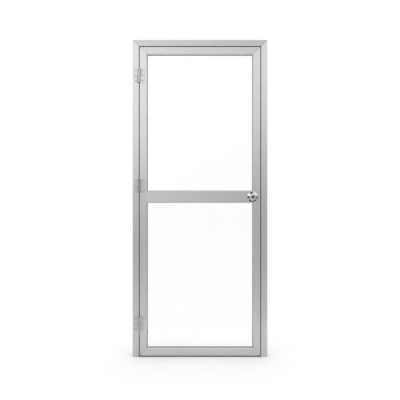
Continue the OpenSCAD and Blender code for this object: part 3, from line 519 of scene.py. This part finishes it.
# %% [markdown]
# ## Turned pieces
#
# Knobs and roses are round, so each of them is a profile that turns about the knob's axis. Three helpers
# do that: one turns a profile into a grid, one moves the grid to the front or the back of the leaf,
# and one rounds the corners of a profile, because no edge on polished metal is truly sharp.

# %% Surfaces of revolution on the knob's axis
def revolve(profile, segments=96):
    """Turns a profile of (radius, distance) rows about the axis: right is radius times cosine of the angle,
    up is radius times sine, out is the distance."""
    angle = np.linspace(0, 2 * np.pi, segments, endpoint=False)[None, :]
    radius, out = profile[:, :1], profile[:, 1:]
    return np.stack([radius * np.cos(angle), radius * np.sin(angle), out + 0 * angle], -1)


def on_leaf(points, front=True):
    """Moves points of (right, up, out) in millimetres to the knob's axis on the front or back of the leaf."""
    right, up, out = np.moveaxis(points * MM, -1, 0)
    depth = face_y - out if front else back_y + out
    return np.stack([lock_x + right, depth, lock_z + up], -1)


def rounded(corners, radius, steps=6):
    """Rounds each inner corner of an open line. A corner becomes a curve that leaves it by the distance
    radius on both sides: the quadratic blend of the two cut points and the corner itself."""
    corners = np.asarray(corners, float)
    before, at, after = corners[:-2], corners[1:-1], corners[2:]
    size = np.asarray(radius, float).reshape(-1, 1) * np.ones((len(at), 1))
    start = at + (before - at) / np.linalg.norm(before - at, axis=1, keepdims=True) * size
    end = at + (after - at) / np.linalg.norm(after - at, axis=1, keepdims=True) * size
    t = np.linspace(0, 1, steps)[None, :, None]
    curves = (1 - t) ** 2 * start[:, None] + 2 * t * (1 - t) * at[:, None] + t ** 2 * end[:, None]
    return np.vstack([corners[:1], curves.reshape(-1, 2), corners[-1:]])


print("axis of the turned pieces at", round(lock_x, 4), round(lock_z, 4))

# %% [markdown]
# ## Knobs
#
# A knob of this kind is spun and polished brass: a neck, a flattened ball and a dished face with the key
# plug or the turn button. Chrome shows every facet, so the ball is worked out again as a smooth surface of
# revolution, with the same sizes as the CAD solid. A superellipse gives the full, slightly flat ball:
# the radius and the distance from its middle, each as a share of its half size, are raised to one power
# and add up to 1. The neck runs into the ball with a small fillet: both radii are raised to a high power
# and added, so the larger one wins, and the corner between them is rounded.

# %% Profile of a knob
NECK_R, NECK_FOOT, FILLET_POWER = 12.6, 3.6, 12
BALL_R, BALL_OUT, BALL_HALF, BALL_POWER = 23.0, 32.0, 18.0, 2.3
RIM_R, RIM_EDGE, DISH_R, DISH_DEPTH, DISH_FLOOR = 16.0, 0.3, 14.0, 4.5, 3.0
PLUG_R, PLUG_FLOOR = 9.05, 27.0
DISH_ROUNDING = (0.12, 0.7, 1.0, 0.3, 0.2)
face_out = BALL_OUT + BALL_HALF * (1 - (RIM_R / BALL_R) ** BALL_POWER) ** (1 / BALL_POWER)

back_out = BALL_OUT - (BALL_OUT - NECK_FOOT) * np.sin(np.linspace(np.pi / 2, 0, 48))
ball = BALL_R * np.clip(1 - (np.abs(back_out - BALL_OUT) / BALL_HALF) ** BALL_POWER, 0, 1) ** (1 / BALL_POWER)
back_line = np.stack([(NECK_R ** FILLET_POWER + ball ** FILLET_POWER) ** (1 / FILLET_POWER), back_out], -1)
front_angle = np.linspace(0, np.arccos((RIM_R / BALL_R) ** (BALL_POWER / 2)), 32)[1:]
front_line = np.stack([BALL_R * np.cos(front_angle) ** (2 / BALL_POWER),
                       BALL_OUT + BALL_HALF * np.sin(front_angle) ** (2 / BALL_POWER)], -1)
dish_out = face_out - DISH_DEPTH
dish = rounded([front_line[-1], (RIM_R - RIM_EDGE, face_out), (DISH_R, face_out),
                (PLUG_R + DISH_FLOOR, dish_out), (PLUG_R, dish_out), (PLUG_R, PLUG_FLOOR), (0, PLUG_FLOOR)],
               DISH_ROUNDING)
knob_profile = np.vstack([[(0, NECK_FOOT)], back_line, front_line, dish[1:]])
print("knob profile", len(knob_profile), "points, face", round(face_out, 2), "mm from the leaf")

# %% [markdown]
# ## Knobs on both sides
#
# The two knobs are the same spun shell, once on the front and once on the back. The back one is a mirror
# image, so its faces are turned round to point outwards. Both turn with the knob's body.

# %% Knobs
for name, front in (("knob_front", True), ("knob_back", False)):
    knob = grid_mesh(name + "_spun", on_leaf(revolve(knob_profile), front), wrap_columns=True, flip=not front)
    knob.data.materials.append(chrome_plate)
    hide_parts(name)
    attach(knob, "knob")
print("knob", len(knob.data.polygons), "faces")

# %% [markdown]
# ## Roses
#
# The rose is a pressed and polished dish that hides the mounting plate. It could be a bare skin with a
# Solidify modifier. Here its section is a closed line, out over the dish and back under it one sheet
# thickness lower, turned about the same axis, so each of its corners can have its own radius.

# %% Roses
ROSE_R, ROSE_H, ROSE_EDGE, ROSE_HOLE, ROSE_LIP, ROSE_SHEET = 33.0, 9.0, 3.6, 13.0, 2.0, 1.0
ROSE_ROUNDING = (2.0, 1.0, 0.2, 0.2, 0.8, 1.0)

lip_r, inner_r, under = ROSE_HOLE + ROSE_LIP, ROSE_R - ROSE_SHEET, ROSE_H - ROSE_SHEET
rose_profile = rounded([(ROSE_R, 0), (ROSE_R, ROSE_EDGE), (lip_r, ROSE_H), (ROSE_HOLE, ROSE_H),
                        (ROSE_HOLE, under), (lip_r, under), (inner_r, ROSE_EDGE - ROSE_SHEET / 2),
                        (inner_r, 0)], ROSE_ROUNDING, steps=10)
for name, front in (("rose_front", True), ("rose_back", False)):
    rose = grid_mesh(name + "_pressed", on_leaf(revolve(rose_profile), front),
                     wrap_rows=True, wrap_columns=True, flip=not front)
    rose.data.materials.append(chrome_plate)
    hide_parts(name)
    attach(rose, "leaf")
print("rose", len(rose.data.polygons), "faces")

# %% [markdown]
# ## Turn button
#
# On the back the knob has a small turn button for locking: a round base in the dish, and a thumb bar
# with soft edges. The base is turned. The bar could be a cube with a Bevel modifier. It is a superellipsoid,
# a box with rounded faces, because that bulges a little, as a cast bar does. Its lower end is in the base,
# and its upper end is level with the knob's rim.

# %% Turn button
BUTTON_R, BUTTON_GAP, BUTTON_PROUD, BUTTON_ROUNDING = 8.95, 0.3, 0.8, (0.2, 0.8)
BAR_WIDE, BAR_LONG, BAR_SUNK, BAR_POWER = 4.5, 15.0, 1.0, 0.45


def superellipsoid(half, power, rows=25, columns=48):
    """Closed form whose rows run from pole to pole: each of cosine and sine is raised to the same power
    with its sign kept, so a small power gives a box with rounded edges."""
    def bent(x):
        return np.sign(x) * np.abs(x) ** power
    tilt = np.linspace(-np.pi / 2, np.pi / 2, rows)[:, None]
    turn = np.linspace(0, 2 * np.pi, columns, endpoint=False)[None, :]
    return np.stack([half[0] * bent(np.cos(tilt)) * bent(np.cos(turn)),
                     half[1] * bent(np.cos(tilt)) * bent(np.sin(turn)),
                     half[2] * bent(np.sin(tilt)) + 0 * turn], -1)


foot, top = PLUG_FLOOR + BUTTON_GAP, dish_out + BUTTON_PROUD
base_profile = rounded([(0, foot), (BUTTON_R, foot), (BUTTON_R, top), (0, top)], BUTTON_ROUNDING)
base = grid_mesh("turn_button_base", on_leaf(revolve(base_profile, 64), False), wrap_columns=True, flip=True)
bar_half = np.array([BAR_WIDE / 2, BAR_LONG / 2, face_out - top + BAR_SUNK])
bar_points = superellipsoid(bar_half, BAR_POWER) + [0, 0, face_out - bar_half[2]]
bar = grid_mesh("turn_button_bar", on_leaf(bar_points, False), wrap_columns=True, flip=True, sharp=60)
for piece in (base, bar):
    piece.data.materials.append(chrome_plate)
    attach(piece, "turn_button")
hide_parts("turn_button")
print("turn button bar", (bar_half * 2).round(2), "mm")

# %% [markdown]
# ## Screws
#
# The hinge plates, the strike and the latch's faceplate are held by countersunk screws with a cross recess.
# One screw is a grid that starts at the middle of the head: its rings go out over the head, with the recess
# pressed in, then down the cone and the shank. The recess could be cut with a boolean, but a grid that dips
# needs no cut and stays clean. The sizes of the recess are shares of the head's radius.

# %% Screws with a cross recess
CROSS_ARM, CROSS_WIDTH, CROSS_EDGE, CROSS_DEPTH = 0.58, 0.13, 0.1, 0.5
HEAD_EDGE = 0.15


def screw_grid(head_r, shank_r, length, rings=20, segments=64):
    """One screw along its axis, head up. The recess is a cross: a point lies in it as far as it is inside
    one of two crossed bars, and its depth follows a smooth step of that distance."""
    share = np.linspace(0, 1, rings)[:, None]
    angle = np.linspace(0, 2 * np.pi, segments, endpoint=False)[None, :]
    x, y = head_r * share * np.cos(angle), head_r * share * np.sin(angle)
    arm, width = CROSS_ARM * head_r, CROSS_WIDTH * head_r
    outside = np.minimum(np.maximum(np.abs(x) - arm, np.abs(y) - width),
                         np.maximum(np.abs(y) - arm, np.abs(x) - width))
    inside = np.clip(-outside / (CROSS_EDGE * head_r) + 0.5, 0, 1)
    recess = -CROSS_DEPTH * head_r * (1 - share) * inside ** 2 * (3 - 2 * inside)
    head = np.stack([x, y, recess], -1)
    below = np.array([(head_r, -HEAD_EDGE), (shank_r, shank_r - head_r), (shank_r, -length), (0, -length)])
    radius, height = below[:, :1], below[:, 1:]
    body = np.stack([radius * np.cos(angle), radius * np.sin(angle), height + 0 * angle], -1)
    return np.vstack([head, body])


HINGE_SCREW, STRIKE_SCREW, FACEPLATE_SCREW = (4.0, 2.1, 12.0), (3.4, 1.75, 10.0), (3.4, 1.75, 12.0)
print("one screw:", screw_grid(*HINGE_SCREW).shape[:2], "rows and columns")

# %% [markdown]
# ## Screws in their places
#
# Each hinge plate has three screws in a row, and the strike and the faceplate have two each. All screws of
# a node are the same grid, moved to their places by one addition. The steps along the row are those of the
# holes in the CAD model, and the rest is read from the nodes' boxes.

# %% Screws in their places
HINGE_STEPS, STRIKE_STEPS, FACEPLATE_STEPS = (-32, 0, 32), (-25, 25), (-20.6, 20.6)


def screws(name, body, places, right, up, out, head_r, shank_r, length):
    """All screws of one node: places in metres, and the directions in which a screw's axes point."""
    one = screw_grid(head_r, shank_r, length) * MM @ np.array([right, up, out], float)
    copies = [grid_mesh(name + "_cross", one + np.array(place), wrap_columns=True, flip=True, sharp=30)
              for place in places]
    merged = bmesh.new()
    for copy in copies:
        merged.from_mesh(copy.data)
        bpy.data.objects.remove(copy)
    mesh = bpy.data.meshes.new(name + "_cross")
    merged.to_mesh(mesh)
    merged.free()
    piece = bpy.data.objects.new(name + "_crossed", mesh)
    bpy.context.scene.collection.objects.link(piece)
    piece.data.materials.append(screw_plate_painted_shade)
    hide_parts(name)
    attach(piece, body)
    return piece


for name, body in (("hinge_frame_screws", "frame"), ("hinge_leaf_screws", "leaf")):
    low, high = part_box(name)
    plates = [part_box(n) for n in nodes if n.endswith("_plate") and n.startswith("hinge") and body in n]
    middles = [(lo.z + hi.z) / 2 for lo, hi in plates]
    places = [((low.x + high.x) / 2, low.y, middle + step * MM) for middle in middles for step in HINGE_STEPS]
    made = screws(name, body, places, (1, 0, 0), (0, 0, 1), (0, -1, 0), *HINGE_SCREW)
low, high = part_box("strike_screws")
screws("strike_screws", "frame", [(low.x, 0, lock_z + step * MM) for step in STRIKE_STEPS],
       (0, -1, 0), (0, 0, 1), (-1, 0, 0), *STRIKE_SCREW)
low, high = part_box("faceplate_screws")
screws("faceplate_screws", "leaf", [(high.x, 0, lock_z + step * MM) for step in FACEPLATE_STEPS],
       (0, 1, 0), (0, 0, 1), (1, 0, 0), *FACEPLATE_SCREW)
print("hinge screws", len(made.data.polygons), "faces a set")

# %% [markdown]
# ## Glazing gaskets
#
# A gasket is an extruded rubber strip, cut to a mitre at the corners. Its section has a soft nose that
# laps onto the glass. A curve with a bevel could make it, but would not keep the mitres sharp. So the section
# is carried round the pane: each of its points is an inset from the edge and a depth, at every corner it
# moves along the diagonal, and four copies of it close the ring.

# %% Gaskets
GASKET_WIDE, GASKET_FOOT, GASKET_NOSE = 5.3 * MM, 0.15 * MM, 1.5 * MM


def gasket(name):
    """Ring with a rounded section inside the CAD node's box: the section's points are turned into insets
    and depths, and each of the four corners takes them along its own diagonal."""
    low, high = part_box(name)
    wide, deep = GASKET_WIDE, high.y - low.y
    section = rounded([(0, deep / 2), (0, 0), (wide, 0), (wide, deep), (0, deep), (0, deep / 2)],
                      [GASKET_FOOT, GASKET_NOSE, GASKET_NOSE, GASKET_FOOT], steps=7)[:-1]
    inset, depth = section[:, :1], section[:, 1:]
    x = np.hstack([low.x + inset, high.x - inset, high.x - inset, low.x + inset])
    z = np.hstack([low.z + inset, low.z + inset, high.z - inset, high.z - inset])
    ring = grid_mesh(name + "_strip", np.stack([x, low.y + depth + 0 * x, z], -1),
                     wrap_rows=True, wrap_columns=True, sharp=40)
    ring.data.materials.append(black_rubber)
    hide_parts(name)
    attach(ring, "leaf")
    return ring


for name in ("gasket_upper_front", "gasket_upper_back", "gasket_lower_front", "gasket_lower_back"):
    strip = gasket(name)
print("gasket", len(strip.data.polygons), "faces a ring")
